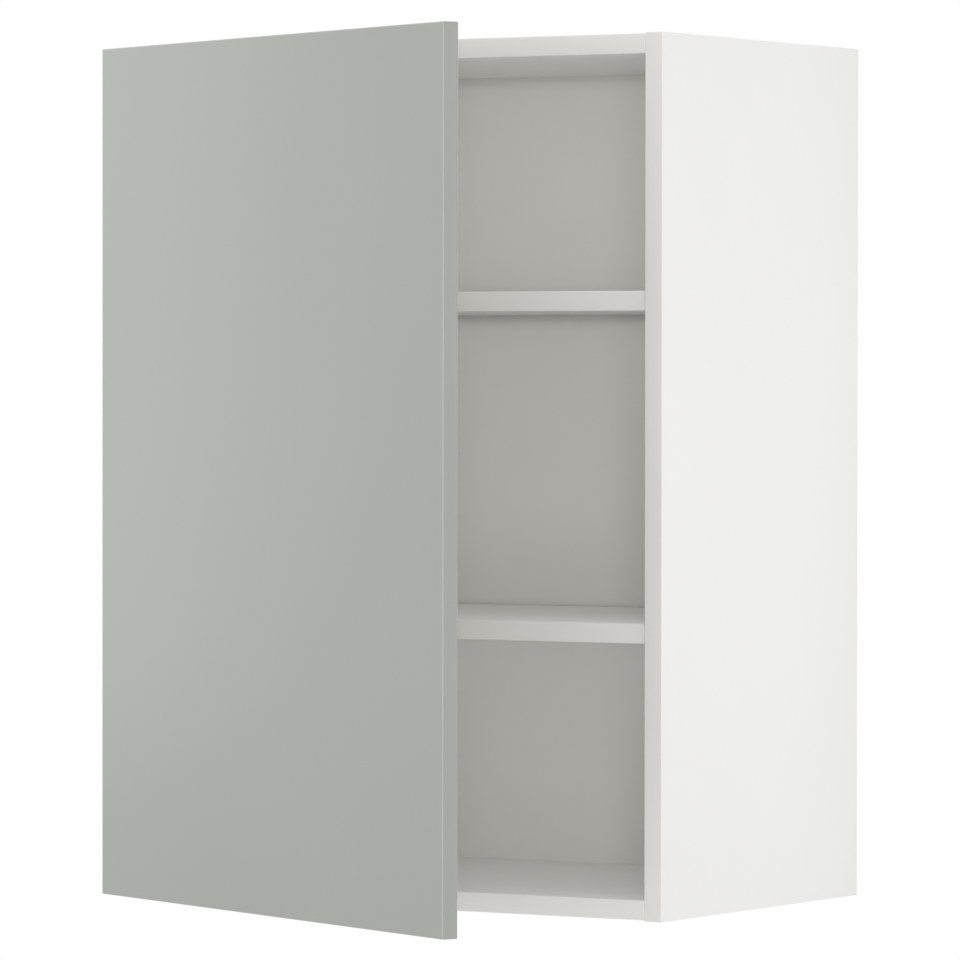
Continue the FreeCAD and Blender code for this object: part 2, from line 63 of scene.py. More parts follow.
# Side panels: two upright boards of particleboard faced with white melamine, drilled in rows for
# the shelf pins and hinge plates and grooved for the back. A strip is glued along their fronts;
# the edge towards the wall is left as sawn, so the pressed chips of the core show there.
mm = 0.001
sides = {"left": -1, "right": 1}
decks = {"bottom": -1, "top": 1}
board_ease = 0.25 * mm
film_depth = 0.3 * mm
fit = 0.05 * mm
overrun = 1 * mm
drill_sides = 32
facing_share = 0.5
sharp_angle = math.radians(40)
row_depths = (-333 * mm, -60 * mm)
row_first_height = 145.5 * mm
row_spacing = 100 * mm
row_count = 6
row_heights = [row_first_height + row_spacing * i for i in range(row_count)]
row_hole_radius = 2.5 * mm
row_hole_depth = 11 * mm
hinge_heights = {"lower": 99 * mm, "upper": 699 * mm}
plate_screw_half_spacing = 16 * mm
plate_screw_hole_depth = 13 * mm
groove_depth = 8 * mm
groove_clearance = 0.2 * mm
cam_depths = (-310 * mm, -60 * mm)
bolt_radius = 2.5 * mm
bolt_hole_depth = 12 * mm
dowel_depths = (-278 * mm, -92 * mm)
dowel_radius = 4 * mm
dowel_hole_depth = 12 * mm
bracket_screw_depths = (-25 * mm, -43 * mm)
bracket_screw_height = 747 * mm
bracket_screw_radius = 2 * mm
bracket_screw_hole_depth = 12.5 * mm
deck_middles = [sum(corner.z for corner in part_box(f"{deck}_panel")) / 2 for deck in decks]
back_low, back_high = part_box("back_panel")


def add_block(bm, low, high):
    """Adds a box between two corners, given in either order."""
    low, high = Vector(low), Vector(high)
    size = [abs(length) for length in high - low]
    bmesh.ops.create_cube(bm, size=1, matrix=Matrix.LocRotScale((low + high) / 2, None, Vector(size)))


def ease(bm, edges, radius, segments, even=False):
    """Rounds edges and shades them smooth. Even rounding keeps its radius where the faces are small."""
    made = bmesh.ops.bevel(bm, geom=edges, offset=radius, offset_type="OFFSET", segments=segments,
                           profile=0.5, affect="EDGES", clamp_overlap=not even, loop_slide=not even,
                           material=-1)
    for face in made["faces"]:
        face.smooth = True


def new_block(low, high, radius, segments=2):
    """A box between two corners with all its edges rounded."""
    bm = bmesh.new()
    add_block(bm, low, high)
    ease(bm, bm.edges[:], radius, segments)
    return bm


def facing(point, direction):
    """Matrix that carries the origin to a point and the Z axis to a direction."""
    return Matrix.Translation(point) @ Vector(direction).to_track_quat("Z", "Y").to_matrix().to_4x4()


def either_side(middle, distance):
    """The two places at a distance before and after a middle."""
    return middle - distance, middle + distance


def add_drill(bm, mouth, inward, depth, radius):
    """Adds the round shape of a hole that starts a little outside its mouth."""
    middle = Vector(mouth) + Vector(inward) * (depth - overrun) / 2
    bmesh.ops.create_cone(bm, cap_ends=True, segments=drill_sides, radius1=radius, radius2=radius,
                          depth=depth + overrun, matrix=facing(middle, inward))


def cut_away(bm, tool):
    """Takes the tool's shape out of a mesh."""
    stock = bpy.data.objects.new("stock", bpy.data.meshes.new("stock"))
    cutter = bpy.data.objects.new("cutter", bpy.data.meshes.new("cutter"))
    for holder, shape in ((stock, bm), (cutter, tool)):
        shape.to_mesh(holder.data)
        bpy.context.scene.collection.objects.link(holder)
    saw = stock.modifiers.new("saw", "BOOLEAN")
    saw.object = cutter
    saw.solver = "EXACT"
    left = bpy.data.meshes.new_from_object(stock.evaluated_get(bpy.context.evaluated_depsgraph_get()))
    bm.clear()
    bm.from_mesh(left)
    for mesh in (left, stock.data, cutter.data):
        bpy.data.meshes.remove(mesh)
    tool.free()


def bare_core(bm, low, high):
    """Gives the wall edge of a board, and what is cut into it, the second finish."""
    for face in bm.faces:
        middle = face.calc_center_median()
        sunk = all(low[i] + film_depth < middle[i] < high[i] - film_depth for i in range(3))
        at_wall = middle.y > high.y - film_depth and face.normal.y > facing_share
        face.material_index = 1 if sunk or at_wall else 0


def settle(bm, name, node, slot, *finishes):
    """Makes a mesh the piece that stands for a CAD node and moves with that node's body."""
    mesh = bpy.data.meshes.new(name)
    bm.to_mesh(mesh)
    bm.free()
    mesh.set_sharp_from_angle(angle=sharp_angle)
    for finish in finishes:
        mesh.materials.append(finish)
    piece = bpy.data.objects.new(name, mesh)
    bpy.context.scene.collection.objects.link(piece)
    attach(piece, frame["nodes"][node]["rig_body"])
    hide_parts(node)
    return piece


def add_node(tree, kind, inputs, **settings):
    """Adds a node; each input is a value or the socket that feeds it."""
    node = tree.nodes.new(kind)
    for name, value in settings.items():
        setattr(node, name, value)
    for name, value in inputs.items():
        if isinstance(value, bpy.types.NodeSocket):
            tree.links.new(value, node.inputs[name])
        else:
            node.inputs[name].default_value = value
    return node


def add_math(tree, operation, *values):
    """Adds one step of arithmetic and returns its result."""
    return add_node(tree, "ShaderNodeMath", dict(enumerate(values)), operation=operation).outputs[0]


def add_noise(tree, place, scale, detail, roughness=0.5, distortion=0):
    """Adds a cloudy noise and returns its value."""
    inputs = {"Vector": place, "Scale": scale, "Detail": detail, "Roughness": roughness,
              "Distortion": distortion}
    return add_node(tree, "ShaderNodeTexNoise", inputs).outputs[0]


def add_cells(tree, place, scale):
    """Adds a pattern of cells and returns the distance from their middles and a tone for each."""
    cells = add_node(tree, "ShaderNodeTexVoronoi", {"Vector": place, "Scale": scale, "Randomness": 1})
    tone = add_node(tree, "ShaderNodeSeparateColor", {0: cells.outputs["Color"]})
    return cells.outputs["Distance"], tone.outputs[0]


def new_texture(name, fineness):
    """Empty shader group: a place and a named fineness go in, a height and a tone come out."""
    tree = bpy.data.node_groups.new(name, "ShaderNodeTree")
    tree.interface.new_socket("Vector", in_out="INPUT", socket_type="NodeSocketVector")
    tree.interface.new_socket(fineness, in_out="INPUT", socket_type="NodeSocketFloat")
    for label in ("Height", "Tone"):
        tree.interface.new_socket(label, in_out="OUTPUT", socket_type="NodeSocketFloat")
    return tree, tree.nodes.new("NodeGroupInput").outputs, tree.nodes.new("NodeGroupOutput").inputs


def new_finish(name, texture, fineness, tones, roughness, relief, scale=(1, 1, 1), metallic=0):
    """New material: a texture on the piece's own coordinates gives its colour, gloss and relief."""
    material = bpy.data.materials.new(name)
    material.use_nodes = True
    tree = material.node_tree
    shader = tree.nodes["Principled BSDF"]
    shader.inputs["Metallic"].default_value = metallic
    place = add_node(tree, "ShaderNodeTexCoord", {}).outputs["Object"]
    laid = add_node(tree, "ShaderNodeMapping", {"Vector": place, "Scale": scale}).outputs[0]
    surface = add_node(tree, "ShaderNodeGroup", {0: laid, 1: fineness}, node_tree=texture).outputs
    colour = add_node(tree, "ShaderNodeValToRGB", {0: surface["Tone"]})
    stops = colour.color_ramp.elements
    while len(stops) < len(tones):
        stops.new(0.5)
    for stop, (position, tone) in zip(stops, tones):
        stop.position = position
        stop.color = (*tone, 1)
    gloss = add_node(tree, "ShaderNodeMapRange",
                     {"Value": surface["Tone"], "To Min": roughness[0], "To Max": roughness[1]})
    bumps = add_node(tree, "ShaderNodeBump",
                     {"Height": surface["Height"], "Strength": 1, "Distance": relief})
    for node, socket in ((colour, "Base Color"), (gloss, "Roughness"), (bumps, "Normal")):
        tree.links.new(node.outputs[0], shader.inputs[socket])
    return material


# pressed film: a fine grain in the surface, and a broad unevenness of tone and gloss
film_texture, given, gives = new_texture("film_texture", "Grain")
pimples = add_noise(film_texture, given["Vector"], scale=given["Grain"], detail=2, roughness=0.6)
clouds = add_noise(film_texture, given["Vector"], scale=5, detail=3, roughness=0.55)
film_texture.links.new(pimples, gives["Height"])
film_texture.links.new(clouds, gives["Tone"])

# pressed chips: flakes of mixed wood, each with its own tone, in a fine dust of the same
chip_texture, given, gives = new_texture("chip_texture", "Flakes")
flakes, flake_tone = add_cells(chip_texture, given["Vector"], given["Flakes"])
dust = add_noise(chip_texture, given["Vector"], scale=1600, detail=2)
chip_texture.links.new(flakes, gives["Height"])
chip_texture.links.new(add_math(chip_texture, "MULTIPLY", flake_tone, dust), gives["Tone"])

white_tones = [(0.3, (0.862, 0.860, 0.849)), (0.7, (0.879, 0.877, 0.866))]
melamine = new_finish("white_melamine", film_texture, fineness=1500, tones=white_tones,
                      roughness=(0.36, 0.46), relief=0.02 * mm)

chip_tones = [(0.0, (0.30, 0.19, 0.10)), (0.25, (0.52, 0.36, 0.21)), (0.6, (0.74, 0.58, 0.38))]
sawn_upright = new_finish("sawn_upright_board", chip_texture, fineness=420, tones=chip_tones,
                          roughness=(0.75, 0.9), relief=0.15 * mm, scale=(2.4, 1, 0.8))

for name, side in sides.items():
    low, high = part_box(f"{name}_side_panel")
    inner = low.x if side > 0 else high.x
    outward = (side, 0, 0)
    board = new_block(low, high, board_ease)
    tool = bmesh.new()
    add_block(tool, (inner - side * overrun, back_low.y - groove_clearance, back_low.z - groove_clearance),
              (inner + side * groove_depth, back_high.y, back_high.z + groove_clearance))
    for z in row_heights:
        for y in row_depths:
            add_drill(tool, (inner, y, z), outward, row_hole_depth, row_hole_radius)
    for height in hinge_heights.values():
        for z in either_side(height, plate_screw_half_spacing):
            add_drill(tool, (inner, row_depths[0], z), outward, plate_screw_hole_depth, row_hole_radius)
    for z in deck_middles:
        for y in cam_depths:
            add_drill(tool, (inner, y, z), outward, bolt_hole_depth, bolt_radius + fit)
        for y in dowel_depths:
            add_drill(tool, (inner, y, z), outward, dowel_hole_depth, dowel_radius + fit)
    for y in bracket_screw_depths:
        add_drill(tool, (inner, y, bracket_screw_height), outward, bracket_screw_hole_depth,
                  bracket_screw_radius + fit)
    cut_away(board, tool)
    bare_core(board, low, high)
    settle(board, f"{name}_side_board", f"{name}_side_panel", "white_board", melamine, sawn_upright)

# Dowels: short beech pegs, fluted so that glue and air can escape, with bevelled ends. Two stand
# at each corner of the carcass, partly in the side and partly in the end of the deck board.
inner_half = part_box("right_side_panel")[0].x
dowel_in_side = 11 * mm
dowel_in_deck = 20 * mm
dowel_bevel = 0.8 * mm
dowel_sides = 30
flute_depth = 0.3 * mm
flute_step = math.radians(36)
flute_tolerance = 0.1


def add_copy(bm, part, place):
    """Adds a placed copy of one mesh to another."""
    first = len(bm.verts)
    copy = bpy.data.meshes.new("copy")
    part.to_mesh(copy)
    bm.from_mesh(copy)
    bpy.data.meshes.remove(copy)
    bm.verts.ensure_lookup_table()
    bmesh.ops.transform(bm, matrix=place, verts=bm.verts[first:])


def settle_copies(part, places, name, node, slot, finish):
    """Settles placed copies of one mesh as one piece."""
    bm = bmesh.new()
    for place in places:
        add_copy(bm, part, place)
    settle(bm, name, node, slot, finish)


# wood grain: long fibres along X with darker pores between them
wood_texture, given, gives = new_texture("wood_texture", "Fibres")
drawn = add_node(wood_texture, "ShaderNodeMapping", {"Vector": given["Vector"], "Scale": (0.05, 1, 1)})
fibres = add_noise(wood_texture, drawn.outputs[0], scale=given["Fibres"], detail=4)
wood_texture.links.new(fibres, gives["Height"])
wood_texture.links.new(fibres, gives["Tone"])

beech_tones = [(0.3, (0.48, 0.31, 0.17)), (0.65, (0.76, 0.58, 0.38))]
beech = new_finish("beech", wood_texture, fineness=900, tones=beech_tones, roughness=(0.55, 0.75),
                   relief=0.05 * mm)

dowel = bmesh.new()
bmesh.ops.create_cone(dowel, cap_ends=True, segments=dowel_sides, radius1=dowel_radius,
                      radius2=dowel_radius, depth=dowel_in_side + dowel_in_deck)
for vert in dowel.verts:
    flute = math.atan2(vert.co.y, vert.co.x) / flute_step
    if abs(flute - round(flute)) < flute_tolerance:
        vert.co.xy *= 1 - flute_depth / dowel_radius
end_rims = [edge for edge in dowel.edges if abs(edge.verts[0].co.z - edge.verts[1].co.z) < fit]
ease(dowel, end_rims, dowel_bevel, segments=1)
dowel_middle = inner_half + (dowel_in_side - dowel_in_deck) / 2
places = [facing((side * dowel_middle, y, z), (side, 0, 0))
          for side in sides.values() for z in deck_middles for y in dowel_depths]
settle_copies(dowel, places, "fluted_dowels", "wood_dowels", "dowel_wood", beech)
dowel.free()

# Cam bolts: zinc-plated steel bolts screwed into the sides, each with a smooth neck and a round head
# that stands in the end of the top or bottom board and waits there for its cam.
bolt_thread_length = 11 * mm
bolt_reach = 24 * mm
bolt_shank_share = 0.55
bolt_neck_share = 0.62
bolt_neck_radius = 1.8 * mm
bolt_head_radius = 3.5 * mm
bolt_head_half = 1.5 * mm
bolt_head_shares = [(0.8, -1), (1, -0.4), (1, 0.4), (0.8, 1), (0, 1)]
thread_pitch = 1.4 * mm
thread_depth = 0.6 * mm
thread_sides = 14
weld = 0.001 * mm


def turned(profile, steps=32, turns=1, rise=0):
    """Solid swept round Z by (radius, height) points, closed in one turn or wound up by a rise each step."""
    bm = bmesh.new()
    line = [bm.verts.new((radius, 0, height)) for radius, height in profile]
    runs = [bm.edges.new(pair) for pair in zip(line, line[1:])]
    bmesh.ops.spin(bm, geom=line + runs, cent=(0, 0, 0), axis=(0, 0, 1), dvec=(0, 0, rise),
                   angle=2 * math.pi * turns, steps=steps, use_merge=not rise)
    bmesh.ops.remove_doubles(bm, verts=bm.verts, dist=weld)
    bmesh.ops.holes_fill(bm, edges=[edge for edge in bm.edges if edge.is_boundary], sides=0)
    bmesh.ops.recalc_face_normals(bm, faces=bm.faces)
    for face in bm.faces:
        face.smooth = True
    return bm


def profile_of(shares, radius, height, start=0):
    """Profile points from shares of a radius and of a height above a start."""
    return [(radius * across, start + height * up) for across, up in shares]


def add_thread(bm, radius, low, high):
    """Adds a threaded shank along Z: one ridge wound so closely that its turns meet."""
    turns = round((high - low) / thread_pitch) - 1
    root = radius - thread_depth
    ridge = [(root, low), (radius, low + thread_pitch / 2), (root, low + thread_pitch)]
    thread = turned(ridge, thread_sides * turns, turns, thread_pitch / thread_sides)
    add_copy(bm, thread, Matrix.Identity(4))
    thread.free()


# plating: a cloudy unevenness of gloss over a fine brushed or tumbled grain
plate_texture, given, gives = new_texture("plate_texture", "Grain")
scratches = add_noise(plate_texture, given["Vector"], scale=given["Grain"], detail=3, roughness=0.7)
stains = add_noise(plate_texture, given["Vector"], scale=120, detail=3, distortion=0.6)
plate_texture.links.new(scratches, gives["Height"])
plate_texture.links.new(stains, gives["Tone"])

zinc_tones = [(0.3, (0.60, 0.61, 0.62)), (0.7, (0.72, 0.72, 0.71))]
bright_zinc = new_finish("bright_zinc", plate_texture, fineness=2200, tones=zinc_tones,
                         roughness=(0.24, 0.42), relief=0.01 * mm, metallic=1)

bolt_root = bolt_radius - thread_depth
head_middle = bolt_thread_length + bolt_reach
bolt = turned([(0, 0), (bolt_root, 0), (bolt_root, bolt_thread_length), (bolt_radius, bolt_thread_length),
               (bolt_radius, bolt_thread_length + bolt_reach * bolt_shank_share),
               (bolt_neck_radius, bolt_thread_length + bolt_reach * bolt_neck_share),
               (bolt_neck_radius, head_middle - bolt_head_half)]
              + profile_of(bolt_head_shares, bolt_head_radius, bolt_head_half, head_middle))
add_thread(bolt, bolt_radius, 0, bolt_thread_length)
places = [facing((side * (inner_half + bolt_thread_length), y, z), (-side, 0, 0))
          for side in sides.values() for z in deck_middles for y in cam_depths]
settle_copies(bolt, places, "threaded_cam_bolts", "cam_bolts", "screw_steel", bright_zinc)
bolt.free()

# Top and bottom boards: the same faced particleboard, held between the sides. Their outer faces have
# a round pocket at each cam and their inner faces the groove that takes the back.
cam_reach = 24 * mm
cam_pocket_radius = 7.55 * mm
cam_pocket_depth = 13.5 * mm
bolt_passage_radius = 4 * mm
dowel_hole_in_deck = 21 * mm

sawn_flat = new_finish("sawn_flat_board", chip_texture, fineness=420, tones=chip_tones,
                       roughness=(0.75, 0.9), relief=0.15 * mm, scale=(0.8, 1, 2.4))

for (name, up), middle_z in zip(decks.items(), deck_middles):
    low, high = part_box(f"{name}_panel")
    outer = high.z if up > 0 else low.z
    inner = low.z if up > 0 else high.z
    board = new_block(low, high, board_ease)
    tool = bmesh.new()
    add_block(tool, (low.x - overrun, back_low.y - groove_clearance, inner - up * overrun),
              (high.x + overrun, back_high.y, inner + up * groove_depth))
    for side in sides.values():
        end = side * inner_half
        inward = (-side, 0, 0)
        for y in cam_depths:
            add_drill(tool, (end, y, middle_z), inward, cam_reach - cam_pocket_radius, bolt_passage_radius)
            add_drill(tool, (end - side * cam_reach, y, outer), (0, 0, -up), cam_pocket_depth,
                      cam_pocket_radius)
        for y in dowel_depths:
            add_drill(tool, (end, y, middle_z), inward, dowel_hole_in_deck, dowel_radius + fit)
    cut_away(board, tool)
    bare_core(board, low, high)
    settle(board, f"{name}_board", f"{name}_panel", "white_board", melamine, sawn_flat)

# Cam locks: die-cast zinc drums that sit in the pockets and draw the bolt heads in when they are
# turned by the slot in their face. The cast skin is dull and slightly grainy. The CAD's own drums
# have this shape already, so only their finish is new.
cast_tones = [(0.3, (0.46, 0.46, 0.47)), (0.7, (0.60, 0.60, 0.60))]
cast_zinc = new_finish("cast_zinc", plate_texture, fineness=1500, tones=cast_tones,
                       roughness=(0.42, 0.6), relief=0.03 * mm, metallic=1)
frame["nodes"]["cam_locks"].material_slots[0].material = cast_zinc

# Cam covers: thin white plastic caps pressed into the mouths of the pockets, each with a rounded rim
# and a shallow dish, so that the outer faces of the boards look clean.
cover_radius = 8.5 * mm
cover_thickness = 0.9 * mm
cover_plug_radius = 7.4 * mm
cover_plug_depth = 0.7 * mm
cover_plug_shares = [(0, -1), (0.93, -1), (1, -0.5), (1, 0)]
cover_face_shares = [(1, 0), (1, 0.4), (0.985, 0.75), (0.95, 0.95), (0.91, 1), (0.82, 1), (0.74, 0.8),
                     (0, 0.7)]
cover_sides = 48

plastic_tones = [(0.3, (0.80, 0.80, 0.79)), (0.7, (0.83, 0.83, 0.82))]
moulded_white = new_finish("moulded_white_plastic", film_texture, fineness=2600, tones=plastic_tones,
                           roughness=(0.40, 0.52), relief=0.03 * mm)

cover = turned(profile_of(cover_plug_shares, cover_plug_radius, cover_plug_depth)
               + profile_of(cover_face_shares, cover_radius, cover_thickness), cover_sides)
outer_heights = {up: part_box(f"{deck}_panel")[1 if up > 0 else 0].z for deck, up in decks.items()}
places = [facing((side * (inner_half - cam_reach), y, outer), (0, 0, up))
          for side in sides.values() for up, outer in outer_heights.items() for y in cam_depths]
settle_copies(cover, places, "dished_cam_covers", "cam_covers", "white_plastic", moulded_white)
cover.free()

# Back: a thin hardboard sheet slid into the grooves, with its upper corners cut away round the
# hanging brackets. The room side is printed white; the wall side is bare brown fibre.
notch_inner = 230 * mm
notch_bottom = 716 * mm

# pressed fibre: a felt of short fibres with the marks of the wire screen it was pressed on
patch_share = 0.2
fibre_texture, given, gives = new_texture("fibre_texture", "Fibres")
felt = add_noise(fibre_texture, given["Vector"], scale=given["Fibres"], detail=5, roughness=0.75,
                 distortion=1.5)
patches = add_noise(fibre_texture, given["Vector"], scale=7, detail=3)
faint = add_math(fibre_texture, "MULTIPLY", patches, patch_share)
mixed = add_math(fibre_texture, "MULTIPLY_ADD", felt, 1 - patch_share, faint)
wires = [add_node(fibre_texture, "ShaderNodeTexWave", {"Vector": given["Vector"], "Scale": 160},
                  bands_direction=direction).outputs[1] for direction in "XZ"]
fibre_texture.links.new(add_math(fibre_texture, "MAXIMUM", *wires), gives["Height"])
fibre_texture.links.new(mixed, gives["Tone"])

back_tones = [(0.3, (0.850, 0.846, 0.833)), (0.7, (0.868, 0.864, 0.851))]
printed_white = new_finish("printed_white_back", film_texture, fineness=1100, tones=back_tones,
                           roughness=(0.45, 0.55), relief=0.03 * mm)
fibre_tones = [(0.3, (0.19, 0.115, 0.062)), (0.5, (0.285, 0.182, 0.105)), (0.68, (0.40, 0.275, 0.17))]
bare_fibre = new_finish("bare_hardboard", fibre_texture, fineness=260, tones=fibre_tones,
                        roughness=(0.7, 0.85), relief=0.05 * mm)

sheet = bmesh.new()
outline = [(back_low.x, back_low.z), (back_high.x, back_low.z), (back_high.x, notch_bottom),
           (notch_inner, notch_bottom), (notch_inner, back_high.z), (-notch_inner, back_high.z),
           (-notch_inner, notch_bottom), (back_low.x, notch_bottom)]
face = sheet.faces.new([sheet.verts.new((x, back_low.y, z)) for x, z in outline])
pulled = bmesh.ops.extrude_face_region(sheet, geom=[face])["geom"]
bmesh.ops.translate(sheet, vec=(0, back_high.y - back_low.y, 0),
                    verts=[item for item in pulled if isinstance(item, bmesh.types.BMVert)])
bmesh.ops.recalc_face_normals(sheet, faces=sheet.faces)
for face in sheet.faces:
    face.material_index = 0 if face.normal.y < -facing_share else 1
settle(sheet, "back_sheet", "back_panel", "back_board", printed_white, bare_fibre)

# Edge bands: strips of white plastic glued with heat over the front edges of the boards and trimmed
# flush, with their front corners rounded by a scraper. They are smoother than the film.
band_radius = 0.9 * mm

# the bands are a touch warmer than the film: painted warm light on the fronts
warm_lit_band_tones = [(0.3, (0.884, 0.869, 0.850)), (0.7, (0.898, 0.883, 0.864))]
smooth_band = new_finish("white_edge_band", film_texture, fineness=700, tones=warm_lit_band_tones,
                         roughness=(0.26, 0.34), relief=0.015 * mm)


def glue_band(node):
    """Makes one strip whose corners away from the board are rounded."""
    low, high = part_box(node)
    strip = bmesh.new()
    add_block(strip, low, high)
    front_edges = [edge for edge in strip.edges if all(vert.co.y < low.y + fit for vert in edge.verts)]
    ease(strip, front_edges, band_radius, segments=4)
    settle(strip, f"{node}_strip", node, "edge_band", smooth_band)


for name in (*sides, *decks):
    glue_band(f"{name}_edge_band")

# Hanging brackets: angles bent from zinc-plated steel in the two upper rear corners. The leg on the
# wall has a long slot for the wall screw, and the leg on the side panel takes two screws.
bracket_thickness = 2.5 * mm
bracket_bend = 3.2 * mm
slot_centre = 254 * mm
slot_height = 747.5 * mm
slot_radius = 4.5 * mm
slot_half_run = 3.5 * mm
slot_sides = 32
rim_radius = 0.3 * mm
rim_angle = math.radians(50)


def round_rims(piece, name):
    """Rounds the sharp rims of a thin piece with a live modifier."""
    rounding = piece.modifiers.new(name, "BEVEL")
    rounding.width = rim_radius
    rounding.segments = 2
    rounding.angle_limit = rim_angle


# spangle: the frozen crystals of a zinc bath, each with its own brightness
spangle_texture, given, gives = new_texture("spangle_texture", "Crystals")
crystals, crystal_tone = add_cells(spangle_texture, given["Vector"], given["Crystals"])
spangle_texture.links.new(crystals, gives["Height"])
spangle_texture.links.new(crystal_tone, gives["Tone"])

galvanised_tones = [(0.1, (0.52, 0.53, 0.54)), (0.9, (0.68, 0.69, 0.70))]
galvanised = new_finish("galvanised_steel", spangle_texture, fineness=260, tones=galvanised_tones,
                        roughness=(0.30, 0.48), relief=0.01 * mm, metallic=1)

for name, side in sides.items():
    low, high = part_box(f"{name}_hanging_bracket")
    face_x = low.x if side < 0 else high.x
    inner_x = high.x if side < 0 else low.x
    angle = bmesh.new()
    legs = [[angle.verts.new((x, y, z)) for z in (low.z, high.z)]
            for x, y in ((face_x, low.y), (face_x, high.y), (inner_x, high.y))]
    for first, second in zip(legs, legs[1:]):
        angle.faces.new((first[0], second[0], second[1], first[1]))
    bend = [edge for edge in angle.edges if all(vert in legs[1] for vert in edge.verts)]
    ease(angle, bend, bracket_bend, segments=6)
    bmesh.ops.recalc_face_normals(angle, faces=angle.faces)
    bmesh.ops.solidify(angle, geom=angle.faces[:], thickness=bracket_thickness)
    tool = bmesh.new()
    through_wall = Matrix.Rotation(math.pi / 2, 4, "X") @ Matrix.Rotation(math.pi / slot_sides, 4, "Z")
    bmesh.ops.create_cone(tool, cap_ends=True, segments=slot_sides, radius1=slot_radius,
                          radius2=slot_radius, depth=4 * bracket_thickness, matrix=through_wall)
    for vert in tool.verts:
        vert.co.x += math.copysign(slot_half_run, vert.co.x)
    bmesh.ops.translate(tool, vec=(side * slot_centre, 0, slot_height), verts=tool.verts)
    for y in bracket_screw_depths:
        add_drill(tool, (face_x, y, bracket_screw_height), (-side, 0, 0), 2 * bracket_thickness,
                  bracket_screw_radius + fit)
    cut_away(angle, tool)
    piece = settle(angle, f"{name}_bent_bracket", f"{name}_hanging_bracket", "bracket_steel", galvanised)
    round_rims(piece, "pressed_edges")

# Bracket screws: short zinc-plated screws with round heads and a cross recess, two through each
# bracket into the side panel.
bracket_screw_head_radius = 4 * mm
bracket_screw_head_height = 2.4 * mm
bracket_screw_length = 14 * mm
head_shares = [(0, 0), (0.95, 0), (1, 0.12), (1, 0.4), (0.94, 0.66), (0.78, 0.88), (0.55, 1), (0, 1)]
recess_length_share = 0.62
recess_width_share = 0.15
recess_floor_share = 0.25
recess_top_share = 1.5
recess_taper = 0.62
shank_overlap = 0.1 * mm
sliver = 0.002 * mm


def clear_slivers(bm):
    """Merges points that almost meet and takes out the faces that this leaves without a size."""
    bmesh.ops.remove_doubles(bm, verts=bm.verts, dist=sliver)
    bmesh.ops.dissolve_degenerate(bm, edges=bm.edges, dist=sliver)


def new_screw(head_radius, head_height, shank_radius, shank_length):
    """Screw along Z with its seat at the origin, a domed head above it and a threaded shank below."""
    head = turned(profile_of(head_shares, head_radius, head_height))
    blade_length = head_radius * recess_length_share
    blade_width = head_radius * recess_width_share
    for reach_x, reach_y in ((blade_length, blade_width), (blade_width, blade_length)):
        blade = bmesh.new()
        add_block(blade, (-reach_x, -reach_y, head_height * recess_floor_share),
                  (reach_x, reach_y, head_height * recess_top_share))
        for vert in blade.verts:
            if vert.co.z < head_height:
                vert.co.xy *= recess_taper
        cut_away(head, blade)
    clear_slivers(head)
    core = shank_radius - thread_depth
    shank = turned([(0, -shank_length), (core, core - shank_length), (core, shank_overlap),
                    (0, shank_overlap)], thread_sides)
    add_copy(head, shank, Matrix.Identity(4))
    shank.free()
    add_thread(head, shank_radius, core - shank_length, 0)
    return head


screw = new_screw(bracket_screw_head_radius, bracket_screw_head_height, bracket_screw_radius,
                  bracket_screw_length)
places = [facing((side * (inner_half - bracket_thickness), y, bracket_screw_height), (-side, 0, 0))
          for side in sides.values() for y in bracket_screw_depths]
settle_copies(screw, places, "domed_bracket_screws", "bracket_screws", "screw_steel", bright_zinc)
screw.free()

# Bracket caps: thin white plastic covers pushed over the brackets, open towards the wall, the side and
# the top, with softly rounded outer corners from the mould.
cap_wall = 1.5 * mm
cap_radius = 4 * mm

for name, side in sides.items():
    low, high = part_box(f"{name}_bracket_cap")
    shell = bmesh.new()
    add_block(shell, low, high)
    open_sides = [face for face in shell.faces
                  if max(face.normal.y, face.normal.z, face.normal.x * side) > facing_share]
    bmesh.ops.delete(shell, geom=open_sides, context="FACES")
    ease(shell, [edge for edge in shell.edges if not edge.is_boundary], cap_radius, segments=6)
    piece = settle(shell, f"{name}_rounded_cap", f"{name}_bracket_cap", "white_plastic", moulded_white)
    wall = piece.modifiers.new("moulded_wall", "SOLIDIFY")
    wall.thickness = cap_wall
    wall.offset = -1
    round_rims(piece, "moulded_rim")

# Shelf pins: nickel-plated steel pins pushed into the rows of holes, four under each shelf. Each has a
# round peg in the panel and a small block with a flat top that carries the shelf.
pin_peg_radius = 2.45 * mm
pin_peg_length = 9 * mm
pin_peg_root = 0.5 * mm
pin_peg_bevel = 0.8 * mm
pin_peg_sides = 28
pin_seat_length = 8 * mm
pin_seat_half = 4 * mm
pin_seat_above = 3.5 * mm
pin_seat_below = 4 * mm
pin_seat_round = 2.5 * mm
pin_seat_ease = 0.35 * mm
pin_seat_sharp = 0.6
shelf_rows = {"lower": row_heights[1], "upper": row_heights[4]}

nickel_tones = [(0.3, (0.62, 0.60, 0.57)), (0.7, (0.73, 0.71, 0.68))]
nickel = new_finish("nickel_plate", plate_texture, fineness=2600, tones=nickel_tones,
                    roughness=(0.18, 0.32), relief=0.006 * mm, metallic=1)

